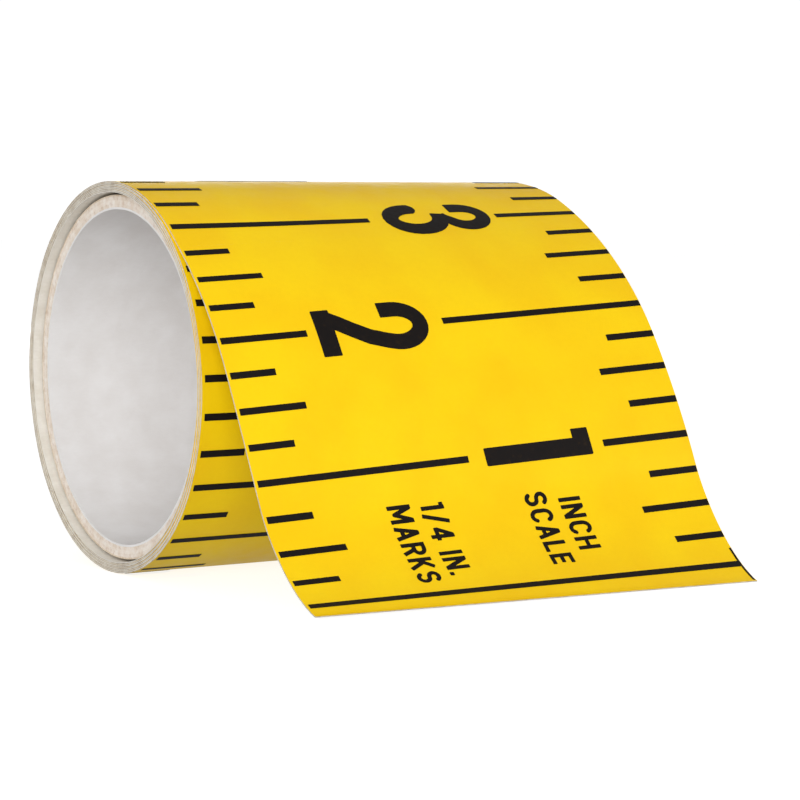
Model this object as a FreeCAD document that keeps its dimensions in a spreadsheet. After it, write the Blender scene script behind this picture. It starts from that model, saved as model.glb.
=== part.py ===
import FreeCAD, Part
import math
import os
from collections import namedtuple
from FreeCAD import Matrix, Vector
import Sketcher

# Roll of wide printed ruler tape, lying on its side with the free end down on the table.
# X runs along the roll, the free end hangs on the -Y side, Z is up.
# The origin is the middle of the roll's axis, so the table plane is at z = -coil radius.
# Along the tape, s is the distance in mm from the printed zero line, growing into the roll.

# ---------------------------------------------------------------- driving dimensions (mm, degrees)
DIMENSIONS = [
    ("tape_width", 84.0, "width of the printed tape"),
    ("film_thickness", 0.12, "printed film with its adhesive and gloss coat"),
    ("liner_thickness", 0.11, "paper release liner"),
    ("release_gap", 0.02, "air between liner and film"),
    ("wrap_gap", 0.02, "air between one turn and the next"),
    ("turns", 7, "whole turns wound on the core"),
    ("bore_radius", 29.2, "inside of the core"),
    ("white_ply", 0.34, "white paper lining of the core"),
    ("board_ply", 0.62, "one of the three board plies"),
    ("kraft_ply", 0.30, "brown paper wrapped round the board"),
    ("core_clearance", 0.05, "radial slide fit between core and coil"),
    ("core_shift", 1.6, "core pushed this far towards +X"),
    ("leave_angle", 62.5, "height angle where the free end leaves the coil"),
    ("curl_radius", 64.4, "free end, upper bend"),
    ("curl_angle", 33.2, "free end, upper bend"),
    ("slack_radius", 241.0, "free end, nearly straight stretch, as long as it takes to reach the table"),
    ("flare_radius", 36.0, "outward bend of the tip"),
    ("flare_angle", 39.60, "outward bend of the tip, down to the table"),
    ("tip_margin", 3.6, "plain tape beyond the zero line"),
    ("printed_turn", 348.0, "turn of the coil's print, from where the free end leaves it"),
    ("inch", 25.4, "one division of the printed scale"),
    ("first_crease", 2.625, "in inches, where the free end starts to flex"),
    ("crease_step", 1.0, "in inches, from one flexing line to the next"),
    ("tab_mark", 0.375, "in inches, where the film lifts off the liner"),
    ("joint_gap", 0.3, "slit at each flexing line"),
    ("ink_thickness", 0.05, "printed ink"),
    ("ink_gap", 0.015, "ink above the film"),
    ("line_width", 1.1, "stroke of the scale lines"),
    ("edge_inset", 0.4, "plain film outside the scale lines"),
    ("quarter_length", 8.2, "quarter-inch mark"),
    ("half_length", 12.0, "half-inch mark"),
    ("far_mark_extra", 1.7, "marks on the +X edge are this much longer"),
    ("numeral_height", 22.0, "height of a numeral, along X"),
    ("numeral_width", 8.4, "width of one figure"),
    ("numeral_stroke", 2.8, "stroke of a figure"),
    ("numeral_clear", 2.2, "plain film between a numeral and its line"),
    ("figure_space", 1.4, "between two figures of one numeral"),
    ("odd_offset", 11.8, "odd numerals sit this far to +X of the middle"),
    ("even_offset", 13.4, "even numerals sit this far to -X of the middle"),
]

doc = FreeCAD.newDocument("ruler_tape_roll")
sheet = doc.addObject("Spreadsheet::Sheet", "sizes")
for row, (alias, value, note) in enumerate(DIMENSIONS, start=1):
    sheet.set(f"A{row}", alias)
    sheet.set(f"B{row}", str(value))
    sheet.set(f"C{row}", note)
    sheet.setAlias(f"B{row}", alias)
doc.recompute()


def size(alias):
    """Value of one named cell."""
    return float(sheet.get(alias))


WIDTH = size("tape_width")
FILM = size("film_thickness")
LAMINATE = FILM + size("release_gap") + size("liner_thickness")
PITCH = LAMINATE + size("wrap_gap")
TURNS = int(size("turns"))
CORE_WALL = size("white_ply") + 3 * size("board_ply") + size("kraft_ply")
CORE_RADIUS = size("bore_radius") + CORE_WALL
# Half turns alternate between two centres half a pitch apart, which sets the tightest inner turn.
INNER_TURN = CORE_RADIUS + size("core_clearance") + PITCH / 2
COIL_RADIUS = INNER_TURN + TURNS * PITCH + LAMINATE
INCH = size("inch")

# ---------------------------------------------------------------- path of the tape
# An arc holds its centre (forward, up), its signed radius (negative where the tape bends outward)
# and the angle of the outward normal at both ends. Forward is -Y.
PathArc = namedtuple("PathArc", "forward up radius angle_low angle_high s_low s_high")


def normal(angle):
    return math.cos(angle), math.sin(angle)


def arc_towards_tip(forward, up, angle, s, radius, sweep):
    """Arc that starts at a point and runs down the free end; returns it with its far end."""
    nf, nu = normal(angle)
    cf, cu = forward - radius * nf, up - radius * nu
    far = angle - sweep * math.copysign(1, radius)
    ff, fu = normal(far)
    arc = PathArc(cf, cu, radius, far, angle, s - abs(radius) * sweep, s)
    return arc, (cf + radius * ff, cu + radius * fu, far, arc.s_low)


def free_bends():
    """Radius and turn of each bend of the free end, from the coil to the tip."""
    curl, slack, flare = (size(f"{bend}_radius") for bend in ("curl", "slack", "flare"))
    curl_turn, flare_turn = (math.radians(size(f"{bend}_angle")) for bend in ("curl", "flare"))
    leave = math.radians(size("leave_angle"))
    low = leave - curl_turn
    height = (COIL_RADIUS - curl) * math.sin(leave) + curl * math.sin(low)
    # The slack stretch ends where the flare brings the underside of the tip down to the table.
    across = slack + flare - (flare + LAMINATE) * math.cos(flare_turn)
    along = (flare + LAMINATE) * math.sin(flare_turn)
    rise = slack * math.sin(low) - height - COIL_RADIUS
    slack_turn = low - math.atan2(along, across) - math.asin(rise / math.hypot(across, along))
    return [(curl, curl_turn), (slack, slack_turn), (-flare, flare_turn)]


BENDS = free_bends()
# Scale reading where the tape leaves the coil.
LEAVE_MARK = sum(abs(radius) * turn for radius, turn in BENDS) - size("tip_margin")


def free_arcs():
    """The bends of the free end, tip first."""
    leave = math.radians(size("leave_angle"))
    nf, nu = normal(leave)
    point = (COIL_RADIUS * nf, COIL_RADIUS * nu, leave, LEAVE_MARK)
    arcs = []
    for radius, turn in BENDS:
        arc, point = arc_towards_tip(*point, radius, turn)
        arcs.append(arc)
    return arcs[::-1]


def coil_arcs():
    """Half turns from where the tape leaves the coil to its inner end."""
    angle = math.radians(size("leave_angle"))
    s = LEAVE_MARK
    radius = COIL_RADIUS
    forward, up = 0.0, 0.0
    arcs = []
    for _ in range(2 * TURNS):
        arcs.append(PathArc(forward, up, radius, angle, angle + math.pi, s, s + math.pi * radius))
        angle += math.pi
        s += math.pi * radius
        nf, nu = normal(angle)
        forward += PITCH / 2 * nf
        up += PITCH / 2 * nu
        radius -= PITCH / 2
    return arcs


PATH = free_arcs() + coil_arcs()
TIP = PATH[0].s_low
INNER_END = PATH[-1].s_high


def point_on(arc, s, depth, x=0.0):
    """Point of the tape at s, at a depth below the printed face."""
    share = (s - arc.s_low) / (arc.s_high - arc.s_low)
    nf, nu = normal(arc.angle_low + share * (arc.angle_high - arc.angle_low))
    reach = arc.radius - depth
    return Vector(x, -(arc.forward + reach * nf), arc.up + reach * nu)


def pieces_between(s_low, s_high):
    """Parts of the path's arcs between two places on the tape."""
    for arc in PATH:
        low, high = max(s_low, arc.s_low), min(s_high, arc.s_high)
        if high - low > 1e-6:
            yield arc, low, high


def edge_along(arc, low, high, depth):
    middle = (low + high) / 2
    return Part.Arc(*(point_on(arc, s, depth) for s in (low, middle, high))).toShape()


def strip_face(s_low, s_high, top, bottom):
    """Section of one layer of the tape, in the plane x = 0."""
    spans = list(pieces_between(s_low, s_high))
    upper = [edge_along(*span, top) for span in spans]
    lower = [edge_along(*span, bottom) for span in spans]
    first, last = spans[0], spans[-1]
    ends = [
        Part.makeLine(point_on(last[0], last[2], top), point_on(last[0], last[2], bottom)),
        Part.makeLine(point_on(first[0], first[1], bottom), point_on(first[0], first[1], top)),
    ]
    return Part.Face(Part.Wire(upper + ends[:1] + lower[::-1] + ends[1:]))


def strip_solid(s_low, s_high, top, bottom, x_low, x_high):
    face = strip_face(s_low, s_high, top, bottom)
    face.translate(Vector(x_low, 0, 0))
    return face.extrude(Vector(x_high - x_low, 0, 0))


# ---------------------------------------------------------------- core: wound paper tube
def core_ply(name, inner, thickness):
    """One ply of the core, a tube as long as the tape is wide; sizes are sheet expressions."""
    body = doc.addObject("PartDesign::Body", name)
    body.Label = name
    plane = next(f for f in body.Origin.OriginFeatures if f.Role == "YZ_Plane")
    sketch = body.newObject("Sketcher::SketchObject", f"{name}_section")
    sketch.AttachmentSupport = [(plane, "")]
    sketch.MapMode = "FlatFace"
    sketch.setExpression("AttachmentOffset.Base.z", "sizes.core_shift - sizes.tape_width / 2")
    for index, radius in enumerate((inner, f"{inner} + {thickness}")):
        sketch.addGeometry(Part.Circle(Vector(0, 0, 0), Vector(0, 0, 1), 10.0 + index), False)
        sketch.addConstraint(Sketcher.Constraint("Coincident", index, 3, -1, 1))
        ring = sketch.addConstraint(Sketcher.Constraint("Radius", index, 10.0 + index))
        sketch.setExpression(f"Constraints[{ring}]", radius)
    pad = body.newObject("PartDesign::Pad", f"{name}_tube")
    pad.Profile = sketch
    pad.setExpression("Length", "sizes.tape_width")
    return body


def make_core():
    inner = "sizes.bore_radius"
    plies = [core_ply("core_white_lining", inner, "sizes.white_ply")]
    inner += " + sizes.white_ply"
    for number in (1, 2, 3):
        plies.append(core_ply(f"core_board_ply_{number}", inner, "sizes.board_ply"))
        inner += " + sizes.board_ply"
    plies.append(core_ply("core_kraft_wrap", inner, "sizes.kraft_ply"))
    return plies


# ---------------------------------------------------------------- tape layers
def tape_layer(name, s_low, s_high, top, bottom):
    """One layer of the tape between two places, as wide as the tape."""
    section = doc.addObject("Part::Feature", f"{name}_section")
    section.Shape = strip_face(s_low, s_high, top, bottom)
    layer = doc.addObject("Part::Extrusion", name)
    layer.Label = name
    layer.Base = section
    layer.DirMode = "Custom"
    layer.Dir = Vector(1, 0, 0)
    layer.Solid = True
    layer.setExpression("LengthFwd", "sizes.tape_width / 2")
    layer.setExpression("LengthRev", "sizes.tape_width / 2")
    return layer


def film_layer(name, s_low, s_high):
    return tape_layer(name, s_low, s_high, 0.0, FILM)


def liner_layer(name, s_low, s_high):
    return tape_layer(name, s_low, s_high, FILM + size("release_gap"), LAMINATE)


# ---------------------------------------------------------------- printed scale
def ink_strip(s_low, s_high, x_low, x_high):
    top = -size("ink_gap") - size("ink_thickness")
    return strip_solid(s_low, s_high, top, -size("ink_gap"), x_low, x_high)


def scale_line(s, x_low, x_high):
    half = size("line_width") / 2
    return ink_strip(s - half, s + half, x_low, x_high)


def numeral_middle(number):
    return size("odd_offset") if number % 2 else -size("even_offset")


def scale_marks(quarters):
    """Ink for one quarter-inch division: edge marks, or a line broken by its numeral."""
    s = quarters * INCH / 4
    edge = WIDTH / 2 - size("edge_inset")
    if quarters == 0:
        return [scale_line(s, -edge, edge)]
    if quarters % 4 == 0:
        middle = numeral_middle(quarters // 4)
        reach = size("numeral_height") / 2 + size("numeral_clear")
        return [scale_line(s, -edge, middle - reach), scale_line(s, middle + reach, edge)]
    length = size("half_length") if quarters % 2 == 0 else size("quarter_length")
    far_length = length + size("far_mark_extra")
    return [scale_line(s, -edge, length - edge), scale_line(s, edge - far_length, edge)]


# Figures are drawn in a cell, a to the right and b up, as straight bars and half-round bows.
# These are the heights of their cross strokes, and where the flag of the 1 starts, as shares of the cell.
WAIST, SHOULDER, CROSSBAR, FLAG = 0.52, 0.66, 0.25, 0.1


def figure_strokes(figure):
    wide, high, stroke = size("numeral_width"), size("numeral_height"), size("numeral_stroke")
    bow = wide / 2
    left, right = stroke / 2, wide - stroke / 2
    waist, shoulder, crossbar = (share * high for share in (WAIST, SHOULDER, CROSSBAR))
    top_bow, low_bow = ("bow", bow, high - bow, 0, 180), ("bow", bow, bow, 180, 180)
    left_hook = ("bar", left, high - bow - stroke / 2, left, high - bow)
    low_hook = ("bar", left, bow, left, bow + stroke / 2)
    right_side = ("bar", right, bow, right, high - bow)
    waist_bar = ("bar", bow - stroke / 2, waist, right, waist)
    base = ("bar", 0, stroke / 2, wide, stroke / 2)
    roof = ("bar", 0, high - stroke / 2, wide, high - stroke / 2)
    upper_loop = [top_bow, ("bar", left, waist, left, high - bow), ("bar", right, waist, right, high - bow)]
    lower_loop = [low_bow, ("bar", left, bow, left, waist), ("bar", right, bow, right, waist)]
    closed_waist = ("bar", left, waist, right, waist)
    return {
        0: [top_bow, low_bow, right_side, ("bar", left, bow, left, high - bow)],
        1: [("bar", bow, 0, bow, high), ("bar", FLAG * wide, high - stroke / 2, bow, high - stroke / 2)],
        2: [top_bow, left_hook, ("bar", right, shoulder, right, high - bow),
            ("bar", left, stroke / 2, right, shoulder), base],
        3: [top_bow, low_bow, left_hook, low_hook, right_side, waist_bar],
        4: [("bar", right - stroke / 2, 0, right - stroke / 2, high),
            ("bar", 0, crossbar, wide, crossbar),
            ("bar", left, crossbar, right - stroke / 2, high - stroke / 2)],
        5: [roof, low_bow, low_hook, ("bar", left, waist, left, high), closed_waist,
            ("bar", right, bow, right, waist)],
        6: [top_bow, closed_waist, ("bar", left, bow, left, high - bow)] + lower_loop,
        7: [roof, ("bar", bow - stroke / 2, 0, right, high - stroke / 2)],
        8: [closed_waist] + upper_loop + lower_loop,
        9: [low_bow, closed_waist, right_side] + upper_loop,
    }[figure]


def stroke_solid(kind, a, b, c, d, depth):
    """A bar from (a, b) to (c, d), or a bow centred at (a, b) from angle c through d degrees."""
    stroke = size("numeral_stroke")
    if kind == "bow":
        outer = size("numeral_width") / 2
        low = Vector(a, b, -depth)
        disc = Part.makeCylinder(outer, 2 * depth, low, Vector(0, 0, 1), d)
        hole = Part.makeCylinder(outer - stroke, 2 * depth, low, Vector(0, 0, 1), 360)
        solid = disc.cut(hole)
        solid.rotate(Vector(a, b, 0), Vector(0, 0, 1), c)
        return solid
    length = math.hypot(c - a, d - b)
    bar = Part.makeBox(length, stroke, 2 * depth, Vector(0, -stroke / 2, -depth))
    bar.rotate(Vector(0, 0, 0), Vector(0, 0, 1), math.degrees(math.atan2(d - b, c - a)))
    bar.translate(Vector(a, b, 0))
    return bar


def numeral_solids(number):
    """A numeral in ink, following the bend of the tape; its top points to +X."""
    wide, high = size("numeral_width"), size("numeral_height")
    figures = [int(letter) for letter in str(number)]
    step = wide + size("figure_space")
    length = step * len(figures) - size("figure_space")
    s = number * INCH
    arc, _, _ = next(pieces_between(s, s + 0.01))
    origin = point_on(arc, s, 0.0, numeral_middle(number) - high / 2)
    out = (point_on(arc, s, -1.0) - point_on(arc, s, 0.0)).normalize()
    up = Vector(1, 0, 0)
    right = up.cross(out)
    frame = Matrix(right.x, up.x, out.x, origin.x, right.y, up.y, out.y, origin.y,
                   right.z, up.z, out.z, origin.z, 0, 0, 0, 1)
    depth = 2 + length
    x_low = origin.x
    sheet_of_ink = ink_strip(s - length, s + length, x_low - 1, x_low + high + 1)
    solids = []
    for place, figure in enumerate(figures):
        strokes = [stroke_solid(*stroke, depth / 2) for stroke in figure_strokes(figure)]
        block = strokes[0].multiFuse(strokes[1:])
        block.translate(Vector(place * step - length / 2, 0, 0))
        block.transformShape(frame)
        solids += block.common(sheet_of_ink).Solids
    return solids


def print_node(name, solids):
    node = doc.addObject("Part::Feature", name)
    node.Label = name
    node.Shape = Part.makeCompound(solids)
    return node


def marks_between(s_low, s_high):
    """Scale marks whose middles lie between two places on the tape."""
    quarter = INCH / 4
    solids = []
    for quarters in range(math.ceil(s_low / quarter), math.floor(s_high / quarter) + 1):
        solids += scale_marks(quarters)
    return solids


def numerals_between(s_low, s_high):
    solids = []
    for number in range(max(1, math.ceil(s_low / INCH)), math.floor(s_high / INCH) + 1):
        solids += numeral_solids(number)
    return solids


# ---------------------------------------------------------------- assembly
def make_tape():
    gap = size("joint_gap") / 2
    creases = [(size("first_crease") - step * size("crease_step")) * INCH for step in range(3)]
    tab = size("tab_mark") * INCH
    nodes = [
        film_layer("coil_printed_film", creases[0] + gap, INNER_END),
        liner_layer("coil_release_liner", creases[0] + gap, INNER_END),
    ]
    # The print on the coil stops where the outer turn is about to be covered by the free end.
    covered = LEAVE_MARK + COIL_RADIUS * math.radians(size("printed_turn"))
    nodes.append(print_node("coil_scale_marks", marks_between(creases[0], covered)))
    nodes.append(print_node("coil_numerals", numerals_between(creases[0], covered)))
    for name, high, low in zip(("upper", "middle"), creases[:2], creases[1:]):
        nodes.append(film_layer(f"{name}_film", low + gap, high - gap))
        nodes.append(liner_layer(f"{name}_release_liner", low + gap, high - gap))
        nodes.append(print_node(f"{name}_print", marks_between(low, high) + numerals_between(low, high)))
    nodes.append(film_layer("lower_film", tab + gap, creases[2] - gap))
    nodes.append(liner_layer("lower_release_liner", TIP, creases[2] - gap))
    nodes.append(print_node("lower_print", marks_between(tab, creases[2])))
    nodes.append(film_layer("peel_tab_film", TIP, tab - gap))
    nodes.append(print_node("peel_tab_print", marks_between(TIP, tab)))
    return nodes


def check(nodes):
    for item in doc.Objects:
        if {"Invalid", "Error"} & set(item.State):
            raise RuntimeError(f"{item.Label} failed: {item.State}")
    for node in nodes:
        shape = node.Shape
        if shape.isNull() or not shape.isValid() or not shape.Solids:
            raise RuntimeError(f"{node.Label} has no valid solid")
        if any(solid.Volume <= 0 for solid in shape.Solids):
            raise RuntimeError(f"{node.Label} has an inside-out solid")


nodes = make_core() + make_tape()
doc.recompute()
check(nodes)
os.makedirs("parts", exist_ok=True)
for node in nodes:
    node.Shape.exportStep(f"parts/{node.Label}.step")
    print(f"{node.Label}: {len(node.Shape.Solids)} solid(s), {node.Shape.Volume:.2f} mm3")

print(f"coil radius {COIL_RADIUS:.3f}, tip at s = {TIP:.2f}, tape length {INNER_END - TIP:.0f} mm")
for inches in (size("first_crease") - n * size("crease_step") for n in range(3)):
    hinge_arc, low, _ = next(pieces_between(inches * INCH, inches * INCH + 0.01))
    print(f"crease at {inches} in:", point_on(hinge_arc, low, LAMINATE / 2))
tab_arc, low, _ = next(pieces_between(size("tab_mark") * INCH, size("tab_mark") * INCH + 0.01))
print("tab hinge:", point_on(tab_arc, low, FILM / 2))
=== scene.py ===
"""Looks of the ruler tape roll: wound tape with its print, paper liner, paper core, light and camera.

Lengths are in millimetres until a mesh is made. Along the tape, s is the distance from the printed
zero line, growing into the roll; x runs along the roll; depth is measured below the printed face.
"""
import math
from collections import namedtuple

import bpy
import numpy as np
from mathutils import Matrix, Vector


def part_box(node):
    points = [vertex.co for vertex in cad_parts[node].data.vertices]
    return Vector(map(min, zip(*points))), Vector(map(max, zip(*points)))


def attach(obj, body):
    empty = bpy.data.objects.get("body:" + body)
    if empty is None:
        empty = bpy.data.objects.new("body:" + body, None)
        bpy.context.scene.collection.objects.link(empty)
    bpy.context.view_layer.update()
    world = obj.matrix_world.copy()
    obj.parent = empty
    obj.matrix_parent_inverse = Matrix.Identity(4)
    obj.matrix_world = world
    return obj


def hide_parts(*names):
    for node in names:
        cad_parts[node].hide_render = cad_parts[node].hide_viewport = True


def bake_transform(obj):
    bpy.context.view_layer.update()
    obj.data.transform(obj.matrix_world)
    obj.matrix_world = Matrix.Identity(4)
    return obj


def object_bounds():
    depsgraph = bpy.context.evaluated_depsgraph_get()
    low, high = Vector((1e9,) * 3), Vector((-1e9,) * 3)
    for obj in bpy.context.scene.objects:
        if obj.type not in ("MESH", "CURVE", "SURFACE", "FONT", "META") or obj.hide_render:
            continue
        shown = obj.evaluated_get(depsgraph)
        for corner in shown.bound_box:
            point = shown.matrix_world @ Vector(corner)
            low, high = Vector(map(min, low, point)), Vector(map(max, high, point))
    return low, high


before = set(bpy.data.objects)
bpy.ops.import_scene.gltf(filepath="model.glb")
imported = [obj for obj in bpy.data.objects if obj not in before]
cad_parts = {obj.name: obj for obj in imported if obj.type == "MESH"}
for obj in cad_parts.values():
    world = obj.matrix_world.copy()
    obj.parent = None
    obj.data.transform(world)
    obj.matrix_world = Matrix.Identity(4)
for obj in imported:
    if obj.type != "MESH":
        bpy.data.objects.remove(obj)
CAD_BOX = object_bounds()

MM = 0.001
INCH = 25.4

# ---------------------------------------------------------------- sizes, from the frame where it has them
COIL_LOW, COIL_HIGH = (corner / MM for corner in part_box("coil_printed_film"))
COIL_RADIUS = COIL_HIGH.z
WIDTH = COIL_HIGH.x - COIL_LOW.x
TABLE = CAD_BOX[0][2] / MM
FILM = 0.12
GAP = 0.02
LAMINATE = 0.25
PITCH = 0.27
TURNS = 7
INK = 0.05
INK_GAP = 0.015

# Bends of the free end from the coil to the tip: radius (negative bends outward) and turn.
LEAVE_ANGLE = math.radians(62.5)
CURL_RADIUS, CURL_TURN = 64.4, math.radians(33.2)
SLACK_RADIUS = 241.0
FLARE_RADIUS, FLARE_TURN = 36.0, math.radians(39.6)
TIP_MARGIN = 3.6

# Seams where one piece of tape meets the next, and the stretch over which each hinge bends it.
# Both pieces at a seam follow the same body there.
COIL_SEAM, UPPER_SEAM, MIDDLE_SEAM, TAB_SEAM = 71.5, 58.5, 30.4, 12.0
UPPER_BEND = (71.0, 60.0)
MIDDLE_BEND = (50.0, 32.5)
LOWER_BEND = (21.0, 13.7)
PEEL_BEND = (10.4, 5.5)

# ---------------------------------------------------------------- path of the tape
PathArc = namedtuple("PathArc", "forward up radius angle_low angle_high s_low s_high")


def free_bends():
    """Radius and turn of each bend of the free end; the slack one reaches down to the table."""
    low = LEAVE_ANGLE - CURL_TURN
    height = (COIL_RADIUS - CURL_RADIUS) * math.sin(LEAVE_ANGLE) + CURL_RADIUS * math.sin(low)
    under = FLARE_RADIUS + LAMINATE
    across = SLACK_RADIUS + FLARE_RADIUS - under * math.cos(FLARE_TURN)
    along = under * math.sin(FLARE_TURN)
    rise = SLACK_RADIUS * math.sin(low) - height - COIL_RADIUS
    slack_turn = low - math.atan2(along, across) - math.asin(rise / math.hypot(across, along))
    return [(CURL_RADIUS, CURL_TURN), (SLACK_RADIUS, slack_turn), (-FLARE_RADIUS, FLARE_TURN)]


def tape_path():
    """Arcs of the whole tape, tip first, then two half turns for each turn of the coil."""
    bends = free_bends()
    leave = sum(abs(radius) * turn for radius, turn in bends) - TIP_MARGIN
    angle, s = LEAVE_ANGLE, leave
    forward, up = COIL_RADIUS * math.cos(angle), COIL_RADIUS * math.sin(angle)
    arcs = []
    for radius, turn in bends:
        centre = forward - radius * math.cos(angle), up - radius * math.sin(angle)
        far = angle - math.copysign(turn, radius)
        arcs.insert(0, PathArc(*centre, radius, far, angle, s - abs(radius) * turn, s))
        forward = centre[0] + radius * math.cos(far)
        up = centre[1] + radius * math.sin(far)
        angle, s = far, arcs[0].s_low
    angle, s, radius, forward, up = LEAVE_ANGLE, leave, COIL_RADIUS, 0.0, 0.0
    for _ in range(2 * TURNS):
        arcs.append(PathArc(forward, up, radius, angle, angle + math.pi, s, s + math.pi * radius))
        angle, s = angle + math.pi, arcs[-1].s_high
        forward += PITCH / 2 * math.cos(angle)
        up += PITCH / 2 * math.sin(angle)
        radius -= PITCH / 2
    return arcs, leave


PATH, LEAVE_MARK = tape_path()
TIP, INNER_END = PATH[0].s_low, PATH[-1].s_high

# The free end leaves the coil a little askew: its +X edge stands further out than its -X edge.
TWIST_START = 91.44
TWIST_ALONG = (-5.0, -9.55, 16.2)
TWIST_OUT = (6.1, 15.7, -19.2)
TWIST_DRIFT, TIP_DRIFT_BACK, TIP_DRIFT_FROM = 1.735, 0.5, 0.85
TIP_LIFT, TIP_LIFT_FROM = 0.5, 0.8
# The twist is 0 where it starts, 1 at the zero line and about TIP_TWIST at the tip.
TIP_TWIST, MOST_TWIST = 1.04, 1.2
# The tip is cut a little askew, longer at the +X edge; the extra length fades out over this much tape.
ASKEW_CUT, ASKEW_REACH = 0.9, 3.0
# How softly the askew sheet lies on the turn beneath, and over how much of the twist that comes in.
HUG, HUG_TWIST = 0.15, 0.2
# The outer turn is wound a little loose, and its -X edge a little ahead of its +X edge.
LOOSE, LOOSE_FROM, LOOSE_TO = 0.6, 110.0, 260.0
SKEW, SKEW_FROM, SKEW_FULL, SKEW_LEFT, SKEW_TO = 1.2, 55.0, 72.0, 108.0, 150.0


def smooth(s, low, high):
    """0 before low, 1 after high, and an even swing between."""
    share = np.clip((s - low) / (high - low), 0, 1)
    return share * share * (3 - 2 * share)


def slip(x, s):
    """How far the tape lies short of its place on the even path."""
    skew = SKEW * (0.5 - x / WIDTH) * smooth(s, SKEW_FROM, SKEW_FULL) * (1 - smooth(s, SKEW_LEFT, SKEW_TO))
    askew = ASKEW_CUT * (0.5 + x / WIDTH) * (1 - smooth(s, TIP, TIP + ASKEW_REACH))
    return skew + askew + LOOSE * smooth(s, LOOSE_FROM, LOOSE_TO)


def cubic(terms, q):
    """A smooth curve that starts at 0 with q."""
    return terms[0] * q + terms[1] * q**2 + terms[2] * q**3


def mean_line(s):
    """Forward, up and normal angle of the printed face at s."""
    forward, up, angle = np.zeros_like(s), np.zeros_like(s), np.zeros_like(s)
    for arc in PATH:
        inside = (s >= arc.s_low) if arc is PATH[-1] else (s >= arc.s_low) & (s < arc.s_high)
        inside |= (s < arc.s_low) if arc is PATH[0] else False
        share = (s - arc.s_low) / (arc.s_high - arc.s_low)
        here = (arc.angle_low + share * (arc.angle_high - arc.angle_low))[inside]
        angle[inside] = here
        forward[inside] = arc.forward + arc.radius * np.cos(here)
        up[inside] = arc.up + arc.radius * np.sin(here)
    return forward, up, angle


def on_tape(x, s, depth):
    """Points of the tape in millimetres, as rows of x, y, z."""
    x, s, depth = (np.broadcast_to(np.asarray(v, float), np.shape(s)) for v in (x, s, depth))
    forward, up, angle = mean_line(s - slip(x, s))
    nf, nu = np.cos(angle), np.sin(angle)
    q = np.clip((TWIST_START - s) / TWIST_START, 0, MOST_TWIST)
    along, out = (cubic(terms, q) * x / WIDTH for terms in (TWIST_ALONG, TWIST_OUT))
    forward = forward + nu * along + nf * out
    up = up - nf * along + nu * out
    # Near the coil the askew sheet lies against the turn beneath instead of going into it.
    reach = np.hypot(forward, up)
    spare = np.where(s < TWIST_START, reach - COIL_RADIUS, 0.0)
    softness = HUG * np.clip(q / HUG_TWIST, 0, 1)
    lifted = 0.5 * (spare + np.sqrt(spare**2 + softness**2))
    pushed = np.where((s < TWIST_START) & (s > MIDDLE_SEAM), (COIL_RADIUS + lifted) / reach, 1.0)
    forward, up = forward * pushed, up * pushed
    # The tip rests on the table.
    up = np.maximum(up, TABLE + LAMINATE * nu + GAP)
    up = up + TIP_LIFT * (0.5 - x / WIDTH) * smooth(q, TIP_LIFT_FROM, TIP_TWIST)
    drift = TWIST_DRIFT * q - TIP_DRIFT_BACK * smooth(q, TIP_DRIFT_FROM, TIP_TWIST)
    return np.stack([x + drift, -(forward - depth * nf), up - depth * nu], axis=-1)


def bend_ends(bend):
    """Two points in metres between which a piece turns from one body to the next."""
    forward, up, _ = mean_line(np.array(bend, float))
    return [Vector((0, -f, u)) * MM for f, u in zip(forward, up)]


# ---------------------------------------------------------------- meshes
SHARP_ANGLE = math.radians(50)


def new_object(name, points, polygons, materials, indices, uv):
    """Mesh object from points in millimetres, with a material index for each polygon."""
    mesh = bpy.data.meshes.new(name)
    mesh.from_pydata((points * MM).tolist(), [], polygons)
    for material in materials:
        mesh.materials.append(material)
    mesh.polygons.foreach_set("material_index", indices)
    corners = np.zeros(len(mesh.loops), np.int32)
    mesh.loops.foreach_get("vertex_index", corners)
    layer = mesh.uv_layers.new(name="tape")
    layer.data.foreach_set("uv", (uv[corners] * MM).ravel())
    mesh.polygons.foreach_set("use_smooth", [True] * len(mesh.polygons))
    mesh.set_sharp_from_angle(angle=SHARP_ANGLE)
    mesh.validate()
    obj = bpy.data.objects.new(name, mesh)
    bpy.context.scene.collection.objects.link(obj)
    return obj


def boundary(polygons):
    """Edges that belong to one polygon only, in that polygon's direction."""
    edges = {}
    for polygon in polygons:
        for a, b in zip(polygon, polygon[1:] + polygon[:1]):
            if (b, a) in edges:
                del edges[b, a]
            else:
                edges[a, b] = True
    return list(edges)


def slab(name, flat, polygons, top, bottom, materials, wobble=None):
    """Closed layer between two depths; flat holds x and s of each corner, seen from the printed side.

    One material covers it all; three are for its upper face, its lower face and its cut edges.
    """
    flat = np.asarray(flat, float)
    x, s = flat[:, 0], flat[:, 1]
    if wobble is not None:
        x = x + wobble(s)
    count = len(flat)
    points = np.concatenate([on_tape(x, s, top), on_tape(x, s, bottom)])
    walls = [(b, a, a + count, b + count) for a, b in boundary(polygons)]
    under = [tuple(v + count for v in reversed(polygon)) for polygon in polygons]
    faces = list(polygons) + under + walls
    indices = [0] * len(faces)
    if len(materials) > 1:
        indices = [0] * len(polygons) + [1] * len(under) + [2] * len(walls)
    return new_object(name, points, faces, materials, indices, np.tile(flat, (2, 1)))


def grid(xs, rows):
    """Corners and polygons of a grid over x and s, wound to face the printed side."""
    flat = [(x, s) for s in rows for x in xs]
    n = len(xs)
    polygons = [
        (j * n + i, (j + 1) * n + i, (j + 1) * n + i + 1, j * n + i + 1)
        for j in range(len(rows) - 1)
        for i in range(n - 1)
    ]
    return flat, polygons


def steps(low, high, size):
    """Even places from low to high, no further apart than size."""
    return np.linspace(low, high, max(1, math.ceil((high - low) / size)) + 1)


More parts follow.
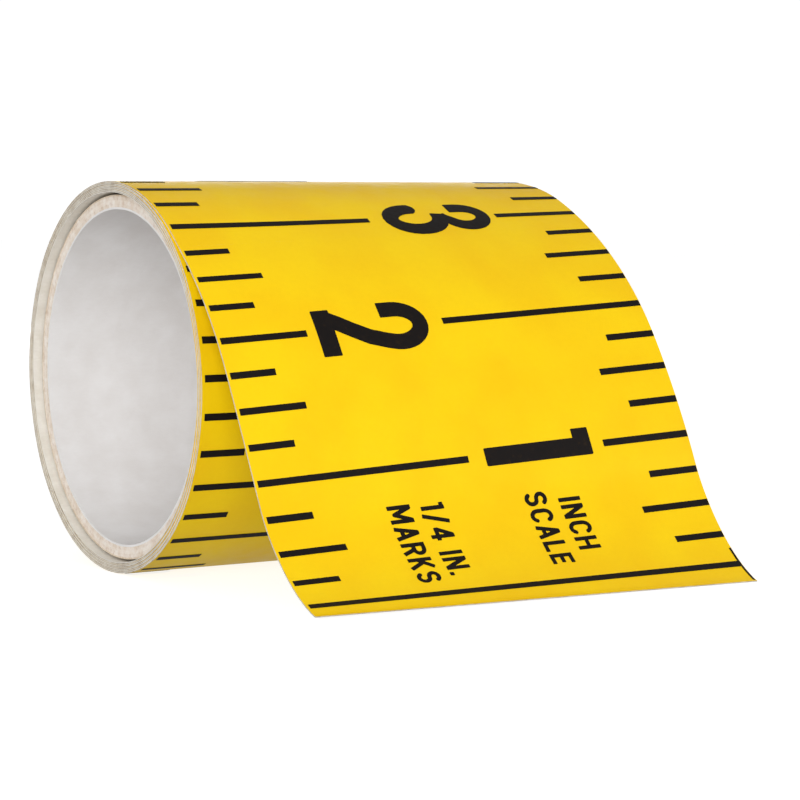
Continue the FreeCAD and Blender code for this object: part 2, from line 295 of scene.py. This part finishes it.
# ---------------------------------------------------------------- figures and letters
# A glyph is a list of strokes, each a width and the line that its middle follows, a to the right and
# b up. The ends are cut square and the corners are round.
FIGURE_HIGH, LETTER_HIGH = 22.0, 10.0
STEM, LETTER_STEM = 3.0, 1.7
BOW_POINTS = 19
# Size of the cells that a glyph is filled with, room round it, and a nudge that keeps its edge off the grid.
FIGURE_CELL, LETTER_CELL = 0.2, 0.11
ROOM_ACROSS, ROOM_UP = 1.0, 2.0
EDGE_NUDGE = 1e-4
LETTER_SCALE, WORD_SPACE, LETTER_GAP, FIGURE_GAP = 0.43, 1.1, 0.6, 1.3


def bow(a, b, ra, rb, start, end):
    """Points of an oval arc from one angle to another, in degrees."""
    turns = np.radians(np.linspace(start, end, BOW_POINTS))
    return [(a + ra * math.cos(t), b + rb * math.sin(t)) for t in turns]


ROUND = bow(4.4, 6.3, 3.0, 4.85, 90, 480)
FIGURES = {
    "0": [(STEM, bow(4.4, 15.4, 3.0, 5.1, 0, 180) + bow(4.4, 6.6, 3.0, 5.1, 180, 360)
           + [(7.4, 15.4), (7.3, 16)])],
    "1": [(3.2, [(5.15, 0), (5.15, 21.1)]), (3.3, [(1.95, 19.45), (4.5, 19.45)])],
    "2": [(2.95, [(1.4, 13.5), (1.4, 15.6)] + bow(4.6, 16.1, 3.2, 4.5, 180, -12)
           + [(7.3, 13.4), (6.3, 10.3), (4.7, 7.4), (3.3, 5.1), (2.2, 3.1), (1.9, 2.3)]),
          (3.4, [(0.5, 2.4), (9.3, 2.4)])],
    "3": [(2.8, [(1.3, 14.6), (1.3, 16.2)] + bow(4.2, 16.9, 2.9, 3.8, 180, -62) + [(4.6, 12.4), (3.6, 11.8)]),
          (3.05, [(3.0, 11.7), (4.6, 11.5)] + bow(4.4, 6.4, 3.2, 5.0, 76, -180) + [(1.2, 7.0)])],
    "4": [(STEM, [(6.4, 0), (6.4, FIGURE_HIGH)]), (STEM, [(0.2, 6.4), (9.2, 6.4)]),
          (2.6, [(1.4, 6.8), (5.9, 21.0)])],
    "5": [(STEM, [(8.0, 20.55), (2.1, 20.55), (1.9, 11.4)]),
          (STEM, [(1.9, 11.4)] + bow(4.5, 6.9, 3.1, 5.4, 125, -170))],
    "6": [(STEM, ROUND), (STEM, [(1.4, 6.3), (1.4, 15.6)] + bow(4.4, 16.0, 3.0, 4.6, 180, 15))],
    "7": [(STEM, [(0.2, 20.55), (8.6, 20.55)]), (STEM, [(7.3, 20.9), (3.0, 0)])],
    "8": [(STEM, bow(4.4, 6.2, 3.0, 4.8, 90, 480)), (STEM, bow(4.4, 16.3, 2.7, 4.3, 90, 480))],
}
LETTERS = {
    "A": [[(0.9, 0), (3.1, 9.6)], [(5.5, 0), (3.3, 9.6)],
          [(1.6, 3.0), (4.8, 3.0)], [(2.5, 9.2), (3.9, 9.2)]],
    "C": [bow(3.1, 6.4, 2.2, 2.8, 20, 180) + bow(3.1, 3.6, 2.2, 2.8, 180, 340)],
    "E": [[(0.9, 0), (0.9, LETTER_HIGH)], [(0.9, 0.85), (5.0, 0.85)],
          [(0.9, 5.1), (4.5, 5.1)], [(0.9, 9.15), (5.0, 9.15)]],
    "H": [[(0.9, 0), (0.9, LETTER_HIGH)], [(5.2, 0), (5.2, LETTER_HIGH)], [(0.9, 5.0), (5.2, 5.0)]],
    "I": [[(0.9, 0), (0.9, LETTER_HIGH)]],
    "K": [[(0.9, 0), (0.9, LETTER_HIGH)], [(1.0, 4.0), (5.0, 10.0)], [(2.2, 6.2), (5.3, 0)]],
    "L": [[(0.9, 0), (0.9, LETTER_HIGH)], [(0.9, 0.85), (4.9, 0.85)]],
    "M": [[(0.9, 0), (0.9, LETTER_HIGH)], [(6.7, 0), (6.7, LETTER_HIGH)],
          [(1.1, 9.6), (3.8, 2.4), (6.5, 9.6)]],
    "N": [[(0.9, 0), (0.9, LETTER_HIGH)], [(5.3, 0), (5.3, LETTER_HIGH)], [(1.1, 9.5), (5.1, 0.5)]],
    "R": [[(0.9, 0), (0.9, LETTER_HIGH)], [(0.9, 9.15)] + bow(3.0, 7.05, 2.1, 2.1, 90, -90) + [(0.9, 4.95)],
          [(3.1, 5.0), (5.1, 0)]],
    "S": [bow(2.9, 7.2, 2.05, 1.95, 20, 250) + bow(2.9, 3.05, 2.05, 2.2, 65, -160)],
    "1": [[(2.2, 0), (2.2, LETTER_HIGH)], [(0.2, 8.9), (2.2, 8.9)]],
    "4": [[(4.2, 0), (4.2, LETTER_HIGH)], [(0.2, 3.0), (6.0, 3.0)], [(0.9, 3.2), (3.9, 9.4)]],
    "/": [[(0.6, -0.6), (3.8, 10.4)]],
    ".": [[(0.9, 0), (0.9, 1.8)]],
}


def stroke_field(wide, points, a, b):
    """Distance to one stroke, negative inside."""
    field = np.full_like(a, np.inf)
    for (a0, b0), (a1, b1) in zip(points, points[1:]):
        length = math.hypot(a1 - a0, b1 - b0)
        ua, ub = (a1 - a0) / length, (b1 - b0) / length
        along = (a - a0) * ua + (b - b0) * ub
        off = np.abs((a - a0) * ub - (b - b0) * ua)
        part = np.maximum(off - wide / 2, np.maximum(-along, along - length))
        field = np.minimum(field, part)
    for a1, b1 in points[1:-1]:
        field = np.minimum(field, np.hypot(a - a1, b - b1) - wide / 2)
    return field


def filled(field, a_lines, b_lines):
    """Corners and polygons that fill the inside of a field given on a grid of lines."""
    corners, polygons, known = [], [], {}

    def corner(key, point):
        if key not in known:
            known[key] = len(corners)
            corners.append(point)
        return known[key]

    inside = field < 0
    some = inside[:-1, :-1] | inside[1:, :-1] | inside[:-1, 1:] | inside[1:, 1:]
    for j, i in zip(*np.nonzero(some)):
        around = [(j, i), (j, i + 1), (j + 1, i + 1), (j + 1, i)]
        polygon = []
        for here, there in zip(around, around[1:] + around[:1]):
            f0, f1 = field[here], field[there]
            p0, p1 = ((a_lines[k[1]], b_lines[k[0]]) for k in (here, there))
            if f0 < 0:
                polygon.append(corner(here, p0))
            if (f0 < 0) != (f1 < 0):
                share = f0 / (f0 - f1)
                point = tuple(u + share * (v - u) for u, v in zip(p0, p1))
                polygon.append(corner(tuple(sorted((here, there))), point))
        if len(polygon) > 2:
            polygons.append(tuple(polygon))
    return corners, polygons


def glyph(strokes, cell, scale=1.0):
    """Corners, polygons and width of one glyph at its real size, from its left side."""
    low = min(a - wide / 2 for wide, points in strokes for a, _ in points)
    high = max(a + wide / 2 for wide, points in strokes for a, _ in points)
    top = max(b for _, points in strokes for _, b in points)
    a_lines = steps(low - ROOM_ACROSS, high + ROOM_ACROSS, cell / scale)
    b_lines = steps(-ROOM_UP, top + ROOM_UP, cell / scale)
    a, b = np.meshgrid(a_lines, b_lines)
    field = np.full_like(a, np.inf)
    for wide, points in strokes:
        field = np.minimum(field, stroke_field(wide, points, a, b))
    corners, polygons = filled(field + EDGE_NUDGE, a_lines, b_lines)
    corners = np.array(corners)
    left, right = corners[:, 0].min(), corners[:, 0].max()
    return (corners - (left, 0)) * scale, polygons, (right - left) * scale


def figure(name):
    """One figure; the 9 is the 6 turned half round."""
    if name != "9":
        return glyph(FIGURES[name], FIGURE_CELL)
    corners, polygons, wide = glyph(FIGURES["6"], FIGURE_CELL)
    return np.array([wide, FIGURE_HIGH]) - corners, polygons, wide


def letter(name):
    """One small letter, or the space between two words."""
    if name == " ":
        return np.zeros((0, 2)), [], WORD_SPACE
    return glyph([(LETTER_STEM, points) for points in LETTERS[name]], LETTER_CELL, LETTER_SCALE)


class Print:
    """Ink shapes collected in x and s, seen from the printed side."""

    def __init__(self):
        self.flat, self.polygons = [], []

    def add(self, flat, polygons):
        start = len(self.flat)
        self.flat += [tuple(point) for point in flat]
        self.polygons += [tuple(v + start for v in polygon) for polygon in polygons]

    def add_text(self, shapes, x, s, space, s_low=-math.inf, s_high=math.inf):
        """Shapes in a row, reading towards the zero end with their tops towards +X, centred on s.

        Only the shapes whose own middle lies between two places are added.
        """
        pen = s + (sum(wide for _, _, wide in shapes) + space * (len(shapes) - 1)) / 2
        for corners, polygons, wide in shapes:
            if len(corners) and s_low < pen - wide / 2 <= s_high:
                self.add([(x + b, pen - a) for a, b in corners], polygons)
            pen -= wide + space

    def line(self, s, x_low, x_high):
        """One line across the tape, divided finely enough to bend with it."""
        half = LINE_WIDTH / 2
        self.add(*grid(steps(x_low, x_high, END_GRID[1]), steps(s - half, s + half, half)))


# ---------------------------------------------------------------- printed scale
LINE_WIDTH = 1.2
LEFT_EDGE, RIGHT_EDGE = 0.5 - WIDTH / 2, WIDTH / 2 - 0.12
QUARTER_LENGTH, HALF_LENGTH, FAR_MARK_EXTRA = 8.2, 12.0, 1.7
# Width of a narrow dark ink strip down the +X edge near the tip, the s where it ends, how far it stays from
# the tip, and its grid step.
DARK_STRIP_WIDTH, DARK_STRIP_TOP, DARK_STRIP_END, DARK_STRIP_STEP = 0.4, 3.4, 0.2, 0.5
# Where a numeral starts along x, and where its inch line stops and starts again.
ODD_NUMERAL, ODD_LINE = 0.8, (-2.5, 24.4)
EVEN_NUMERAL, EVEN_LINE = -24.4, (-25.6, 0.7)
# The first numeral isn't centred on its line: it stands a little further from the zero end.
FIRST_AHEAD = 0.75
PRINTED_TURN = math.radians(348)
LAST_PRINT = LEAVE_MARK + COIL_RADIUS * PRINTED_TURN
# Small generic lettering between the zero line and the first inch: words, x of the foot, s of the middle.
LETTERING = [("INCH", 12.4, 11.6), ("SCALE", 6.0, 11.2), ("1/4 IN.", -13.8, 11.4), ("MARKS", -20.0, 11.0)]


def scale_lines(ink, s_low, s_high):
    """Quarter, half and inch lines whose middles lie between two places."""
    quarter = INCH / 4
    for count in range(math.ceil(s_low / quarter), math.floor(s_high / quarter) + 1):
        s = count * quarter
        left, right = ODD_LINE if count // 4 % 2 else EVEN_LINE
        if count % 4:
            length = HALF_LENGTH if count % 2 == 0 else QUARTER_LENGTH
            left, right = LEFT_EDGE + length, RIGHT_EDGE - length - FAR_MARK_EXTRA
        if count == 0:
            ink.line(s, LEFT_EDGE, RIGHT_EDGE)
        else:
            ink.line(s, LEFT_EDGE, left)
            ink.line(s, right, RIGHT_EDGE)


def border(ink):
    """A narrow dark strip of the black ink down the +X edge of the last bit of tape."""
    ink.add(*grid([RIGHT_EDGE - DARK_STRIP_WIDTH, RIGHT_EDGE], steps(TIP + DARK_STRIP_END, DARK_STRIP_TOP, DARK_STRIP_STEP)))


def numerals(ink, s_low, s_high):
    """Inch numerals whose lines lie between two places."""
    for number in range(max(1, math.ceil(s_low / INCH)), math.floor(s_high / INCH) + 1):
        foot = ODD_NUMERAL if number % 2 else EVEN_NUMERAL
        middle = number * INCH + (FIRST_AHEAD if number == 1 else 0.0)
        ink.add_text([figure(name) for name in str(number)], foot, middle, FIGURE_GAP)


def lettering(ink, s_low, s_high):
    """Each letter goes with the piece of tape that its middle is on."""
    for words, x, middle in LETTERING:
        ink.add_text([letter(name) for name in words], x, middle, LETTER_GAP, s_low, s_high)


# ---------------------------------------------------------------- materials
def linear(colour):
    """A colour given as it looks on a screen, 0 to 255, in the renderer's own units."""
    return tuple((c / 255 / 12.92 if c <= 10 else ((c / 255 + 0.055) / 1.055) ** 2.4) for c in colour) + (1,)


class Nodes:
    """Short names for building a material."""

    def __init__(self, name, roughness, **sockets):
        self.material = bpy.data.materials.new(name)
        self.material.use_nodes = True
        self.tree = self.material.node_tree
        self.shader = self.tree.nodes["Principled BSDF"]
        self.shader.inputs["Roughness"].default_value = roughness
        for socket, value in sockets.items():
            self.shader.inputs[socket.replace("_", " ")].default_value = value

    def node(self, kind, **settings):
        node = self.tree.nodes.new(kind)
        for key, value in settings.items():
            if key in node.inputs:
                node.inputs[key].default_value = value
            else:
                setattr(node, key, value)
        return node

    def link(self, source, target):
        self.tree.links.new(source, target)

    def position(self, scale=(1, 1, 1)):
        coordinates = self.node("ShaderNodeTexCoord")
        mapping = self.node("ShaderNodeMapping", Scale=scale)
        self.link(coordinates.outputs["Object"], mapping.inputs["Vector"])
        return mapping.outputs["Vector"]

    def noise(self, size_mm, detail=3.0, rough=0.5, stretch=(1, 1, 1)):
        noise = self.node("ShaderNodeTexNoise", Scale=1 / (size_mm * MM), Detail=detail, Roughness=rough)
        self.link(self.position(stretch), noise.inputs["Vector"])
        return noise.outputs["Fac"]

    def ramp(self, value, stops):
        ramp = self.node("ShaderNodeValToRGB")
        self.link(value, ramp.inputs["Fac"])
        elements = ramp.color_ramp.elements
        while len(elements) < len(stops):
            elements.new(0.5)
        for element, (place, colour) in zip(elements, stops):
            element.position, element.color = place, colour
        return ramp.outputs["Color"]

    def mix(self, factor, first, second):
        mix = self.node("ShaderNodeMix", data_type="RGBA")
        for socket, value in zip((mix.inputs[0], mix.inputs[6], mix.inputs[7]), (factor, first, second)):
            if isinstance(value, bpy.types.NodeSocket):
                self.link(value, socket)
            else:
                socket.default_value = value
        return mix.outputs[2]

    def to_range(self, value, low, high, from_low=0.3, from_high=0.7):
        mapped = self.node("ShaderNodeMapRange")
        limits = {"From Min": from_low, "From Max": from_high, "To Min": low, "To Max": high}
        for socket, number in limits.items():
            mapped.inputs[socket].default_value = number
        self.link(value, mapped.inputs["Value"])
        return mapped.outputs["Result"]

    def colour(self, output):
        self.link(output, self.shader.inputs["Base Color"])

    def rough(self, output):
        self.link(output, self.shader.inputs["Roughness"])

    def bump(self, *heights):
        """Bumps stacked on each other, each a height output and its depth in millimetres."""
        normal = None
        for height, depth in heights:
            bump = self.node("ShaderNodeBump", Strength=1.0, Distance=depth * MM)
            self.link(height, bump.inputs["Height"])
            if normal is not None:
                self.link(normal, bump.inputs["Normal"])
            normal = bump.outputs["Normal"]
        self.link(normal, self.shader.inputs["Normal"])


def yellow_film():
    """Printed face: flat yellow ink under a thin gloss coat, with a faint mottle and fine texture."""
    m = Nodes("yellow_printed_film", 0.38, Specular_IOR_Level=0.14, Coat_Weight=0.03, Coat_Roughness=0.25)
    broad = m.noise(14.0, 2.0)
    fine = m.noise(0.9, 4.0, 0.6)
    base = m.ramp(broad, [(0.35, linear((247, 200, 6))), (0.65, linear((250, 209, 8)))])
    m.colour(m.mix(m.to_range(fine, 0.0, 0.10), base, linear((224, 176, 4))))
    m.rough(m.to_range(m.noise(3.0, 3.0), 0.33, 0.45))
    m.bump((m.noise(0.35, 3.0), 0.004), (m.noise(6.0, 2.0), 0.03))
    return m.material


def adhesive_side():
    """Underside of the film: clear tacky adhesive over the pale back of the vinyl."""
    m = Nodes("film_adhesive_side", 0.3, Specular_IOR_Level=0.35)
    cloud = m.noise(7.0, 4.0, 0.6)
    m.colour(m.ramp(cloud, [(0.35, linear((222, 208, 166))), (0.65, linear((233, 222, 188)))]))
    m.rough(m.to_range(m.noise(1.2, 4.0, 0.6), 0.22, 0.42))
    m.bump((m.noise(1.8, 4.0, 0.6), 0.02), (cloud, 0.04))
    return m.material


def film_edge():
    """Cut edge of the film: grey-brown, in a mottle from darker to lighter."""
    m = Nodes("film_cut_edge", 0.7, Specular_IOR_Level=0.2)
    # Noise that lays out the darker grey-brown and lighter patches along the cut edge.
    edge_mottle = m.noise(1.6, 5.0, 0.65)
    m.colour(m.ramp(edge_mottle, [(0.36, linear((160, 140, 118))), (0.5, linear((192, 180, 162))),
                           (0.66, linear((214, 206, 192)))]))
    m.bump((m.noise(0.4, 4.0), 0.02))
    return m.material


def liner_paper():
    """Siliconed release paper: off-white, smooth, with faint fibres."""
    m = Nodes("release_paper", 0.5, Specular_IOR_Level=0.35)
    cloud = m.noise(3.0, 5.0, 0.6)
    fibre = m.noise(0.5, 4.0, 0.7, (0.3, 1, 1))
    base = m.ramp(cloud, [(0.35, linear((226, 221, 210))), (0.65, linear((238, 235, 227)))])
    m.colour(m.mix(m.to_range(fibre, 0.0, 0.25), base, linear((206, 199, 186))))
    m.rough(m.to_range(cloud, 0.42, 0.58))
    m.bump((fibre, 0.006), (m.noise(9.0, 2.0), 0.03))
    return m.material


def black_ink():
    """Screen-printed ink: near black, a little uneven, with softer gloss than the film."""
    m = Nodes("black_scale_ink", 0.55, Specular_IOR_Level=0.16)
    cover = m.noise(0.8, 5.0, 0.6)
    m.colour(m.ramp(cover, [(0.3, linear((13, 9, 9))), (0.6, linear((20, 13, 10))),
                            (0.8, linear((42, 30, 14)))]))
    m.rough(m.to_range(cover, 0.42, 0.6))
    m.bump((m.noise(0.25, 3.0), 0.004))
    return m.material


def core_paper(name, light, dark, speck, grain=0.9):
    """Paper and board of the core: clouds of tone, specks of waste fibre and a torn grain."""
    m = Nodes(name, 0.85, Specular_IOR_Level=0.2)
    cloud = m.noise(2.2, 5.0, 0.65)
    base = m.ramp(cloud, [(0.36, linear(dark)), (0.62, linear(light))])
    specks = m.to_range(m.noise(grain, 5.0, 0.7), 0.0, 0.55, 0.52, 0.72)
    m.colour(m.mix(specks, base, linear(speck)))
    m.bump((m.noise(0.35, 5.0, 0.7), 0.05), (cloud, 0.08))
    return m.material


def lining_paper():
    """White lining of the core: smooth paper with fine fibres lying round the tube."""
    m = Nodes("white_core_lining", 0.62, Specular_IOR_Level=0.3)
    cloud = m.noise(6.0, 4.0, 0.55)
    fibre = m.noise(0.45, 5.0, 0.7, (0.35, 1, 1))
    base = m.ramp(cloud, [(0.35, linear((231, 228, 226))), (0.65, linear((238, 236, 235)))])
    m.colour(m.mix(m.to_range(fibre, 0.0, 0.12), base, linear((212, 206, 200))))
    m.bump((fibre, 0.008), (cloud, 0.02))
    return m.material


def floor_paper():
    """Pale matt floor that glows a little, so that it looks as white as the backdrop."""
    m = Nodes("pale_floor", 0.9, Specular_IOR_Level=0.0)
    grain = m.noise(300.0, 2.0)
    m.colour(m.ramp(grain, [(0.4, linear((170, 170, 170))), (0.6, linear((174, 174, 174)))]))
    m.shader.inputs["Emission Color"].default_value = (1, 1, 1, 1)
    m.shader.inputs["Emission Strength"].default_value = FLOOR_GLOW
    return m.material


# ---------------------------------------------------------------- pieces
# Waves that the cut edges wander in: size, length of tape for one radian, and start.
WANDER_WAVES, WANDER_REACH = [(0.06, 61.0, 0.0), (0.05, 17.3, 1.0), (0.02, 3.1, 0.0)], 60.0
# Along the tape and across it, the most that a mesh goes without a division.
COIL_GRID, END_GRID = (1.6, WIDTH / 6), (0.7, 2.0)


def edge_wander(s):
    """The turns of the coil lie a little unevenly, so the cut edges wander by a tenth of a millimetre."""
    wander = sum(size * np.sin(s / length + start) for size, length, start in WANDER_WAVES)
    return wander * np.clip((s - COIL_SEAM) / WANDER_REACH, 0, 1)


def finish_piece(obj, node, bodies, bend):
    """Hides the CAD node that a piece stands for; a piece with no bend is parented to its body's empty, and
    one with a bend keeps its place with its transform baked in.
    """
    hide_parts(node)
    if bend is None:
        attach(obj, bodies)
    else:
        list(bend_ends(bend))
        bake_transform(obj)


def tape_piece(name, kind, s_low, s_high, top, bottom, materials):
    """One layer of one section of the tape, as wide as the tape."""
    step, columns = COIL_GRID if name == "coil" else END_GRID
    flat, polygons = grid(steps(-WIDTH / 2, WIDTH / 2, columns), steps(s_low, s_high, step))
    return slab(f"{name}_{kind}_sheet", flat, polygons, top, bottom, materials, edge_wander)


# Sections of the tape: name, where it starts and ends, the bodies it follows and where it turns between them.
SECTIONS = [
    ("coil", COIL_SEAM, INNER_END, "coil", None),
    ("upper_end", UPPER_SEAM, COIL_SEAM, ("coil", "upper_free_end"), UPPER_BEND),
    ("middle_end", MIDDLE_SEAM, UPPER_SEAM, ("upper_free_end", "middle_free_end"), MIDDLE_BEND),
    ("lower_end", TAB_SEAM, MIDDLE_SEAM, ("middle_free_end", "lower_free_end"), LOWER_BEND),
    ("peel_end", TIP, TAB_SEAM, ("lower_free_end", "peel_tab"), PEEL_BEND),
]
FILM_NODES = {"coil": "coil_printed_film", "upper_end": "upper_film", "middle_end": "middle_film",
              "lower_end": "lower_film", "peel_end": "peel_tab_film"}
PRINT_NODES = {"coil": "coil_scale_marks", "upper_end": "upper_print", "middle_end": "middle_print",
               "lower_end": "lower_print", "peel_end": "peel_tab_print"}
LINER_NODES = {"coil": "coil_release_liner", "upper_end": "upper_release_liner",
               "middle_end": "middle_release_liner", "lower_end": "lower_release_liner"}


def make_films(film_materials):
    for name, low, high, bodies, bend in SECTIONS:
        piece = tape_piece(name, "film", low, high, 0.0, FILM, film_materials)
        finish_piece(piece, FILM_NODES[name], bodies, bend)


def make_liners(liner):
    """The liner of the lower section runs on to the tip, where only the film peels."""
    for name, low, high, bodies, bend in SECTIONS[:-1]:
        low = TIP if name == "lower_end" else low
        piece = tape_piece(name, "liner", low, high, FILM + GAP, LAMINATE, [liner])
        finish_piece(piece, LINER_NODES[name], bodies, bend)


def print_piece(name, ink, material, node, bodies, bend):
    piece = slab(name, ink.flat, ink.polygons, -INK_GAP - INK, -INK_GAP, [material])
    finish_piece(piece, node, bodies, bend)


def make_prints(ink_material):
    """Lines and numerals of each section; on the coil they are two pieces."""
    for name, low, high, bodies, bend in SECTIONS:
        high = LAST_PRINT if name == "coil" else high
        lines = Print()
        scale_lines(lines, low, high)
        if name == "coil":
            print_piece("coil_scale_lines", lines, ink_material, PRINT_NODES[name], bodies, bend)
            figures = Print()
            numerals(figures, low, high)
            print_piece("coil_figures", figures, ink_material, "coil_numerals", bodies, bend)
            continue
        numerals(lines, low, high)
        lettering(lines, low, high)
        if name == "peel_end":
            border(lines)
        print_piece(f"{name}_scale_print", lines, ink_material, PRINT_NODES[name], bodies, bend)


def finish_core():
    """The core's tubes keep their shape and get paper and board."""
    board = core_paper("core_board", (240, 231, 221), (224, 208, 190), (182, 150, 126))
    middle_board = core_paper("core_board_middle", (244, 237, 228), (230, 215, 199), (190, 158, 136))
    finishes = {
        "core_white_lining": lining_paper(),
        "core_board_ply_1": board,
        "core_board_ply_2": middle_board,
        "core_board_ply_3": board,
        "core_kraft_wrap": core_paper("kraft_wrap", (232, 218, 199), (211, 191, 166), (166, 138, 110)),
    }
    for node, material in finishes.items():
        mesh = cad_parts[node].data
        mesh.materials.clear()
        mesh.materials.append(material)
        mesh.polygons.foreach_set("material_index", [0] * len(mesh.polygons))


# ---------------------------------------------------------------- floor, light and camera
# In metres and watts. The world lights the roll with STUDIO, and the camera sees it as BACKDROP.
FLOOR_REACH, FLOOR_GLOW = 6.0, 0.82
STUDIO, BACKDROP = 0.45, 1.05
LIGHTS = [
    ("front_light", (-0.62, -0.86, 0.13), (0.8, 0.5), 7.0),
    ("right_light", (0.7, -0.9, 0.2), (0.7, 0.5), 3.0),
    ("bore_light", (-0.8, -0.42, 0.26), (0.35, 0.35), 1.7),
    ("back_light", (0.3, 0.95, 0.14), (0.8, 0.4), 2.0),
]
CAMERA_AZIMUTH, CAMERA_ELEVATION, CAMERA_ROLL = (math.radians(a) for a in (-32.24, 4.01, -0.24))
CAMERA_DISTANCE, CAMERA_TARGET = 491.1, Vector((17.36, 0, -6.31))
CAMERA_LENS, CAMERA_SENSOR = 119.0, 36.0


def make_floor():
    mesh = bpy.data.meshes.new("floor")
    square = [(-1, -1), (1, -1), (1, 1), (-1, 1)]
    corners = [(x * FLOOR_REACH, y * FLOOR_REACH, TABLE * MM) for x, y in square]
    mesh.from_pydata(corners, [], [(0, 1, 2, 3)])
    mesh.materials.append(floor_paper())
    floor = bpy.data.objects.new("floor", mesh)
    # The floor is seen and takes a shadow, but throws no light back up at the roll.
    floor.visible_diffuse = floor.visible_glossy = False
    bpy.context.scene.collection.objects.link(floor)


def make_world():
    """Even studio light of one strength, seen by the camera as a white backdrop."""
    world = bpy.data.worlds.new("studio")
    world.use_nodes = True
    tree = world.node_tree
    background = tree.nodes["Background"]
    background.inputs["Color"].default_value = (1, 1, 1, 1)
    rays = tree.nodes.new("ShaderNodeLightPath")
    seen = tree.nodes.new("ShaderNodeMapRange")
    seen.inputs["To Min"].default_value = STUDIO
    seen.inputs["To Max"].default_value = BACKDROP
    tree.links.new(rays.outputs["Is Camera Ray"], seen.inputs["Value"])
    tree.links.new(seen.outputs["Result"], background.inputs["Strength"])
    bpy.context.scene.world = world


def softbox(name, place, size, power):
    """A soft rectangular light that faces the middle of the roll."""
    light = bpy.data.lights.new(name, "AREA")
    light.shape, light.size, light.size_y = "RECTANGLE", size[0], size[1]
    light.energy = power
    obj = bpy.data.objects.new(name, light)
    obj.location = place
    obj.rotation_euler = (-Vector(place)).to_track_quat("-Z", "Y").to_euler()
    bpy.context.scene.collection.objects.link(obj)


def make_camera():
    a, e = CAMERA_AZIMUTH, CAMERA_ELEVATION
    back = Vector((math.sin(a) * math.cos(e), -math.cos(a) * math.cos(e), math.sin(e)))
    right = (-back).cross(Vector((0, 0, 1))).normalized()
    up = right.cross(-back)
    roll = CAMERA_ROLL
    right, up = right * math.cos(roll) + up * math.sin(roll), up * math.cos(roll) - right * math.sin(roll)
    data = bpy.data.cameras.new("camera")
    data.lens, data.sensor_width = CAMERA_LENS, CAMERA_SENSOR
    camera = bpy.data.objects.new("camera", data)
    turn = Matrix((right, up, back)).transposed().to_4x4()
    camera.matrix_world = Matrix.Translation((CAMERA_TARGET + back * CAMERA_DISTANCE) * MM) @ turn
    bpy.context.scene.collection.objects.link(camera)
    bpy.context.scene.camera = camera


make_camera()
make_films([yellow_film(), adhesive_side(), film_edge()])
make_liners(liner_paper())
make_prints(black_ink())
finish_core()
make_floor()
make_world()
for light in LIGHTS:
    softbox(*light)
bpy.context.scene.view_settings.view_transform = "Standard"
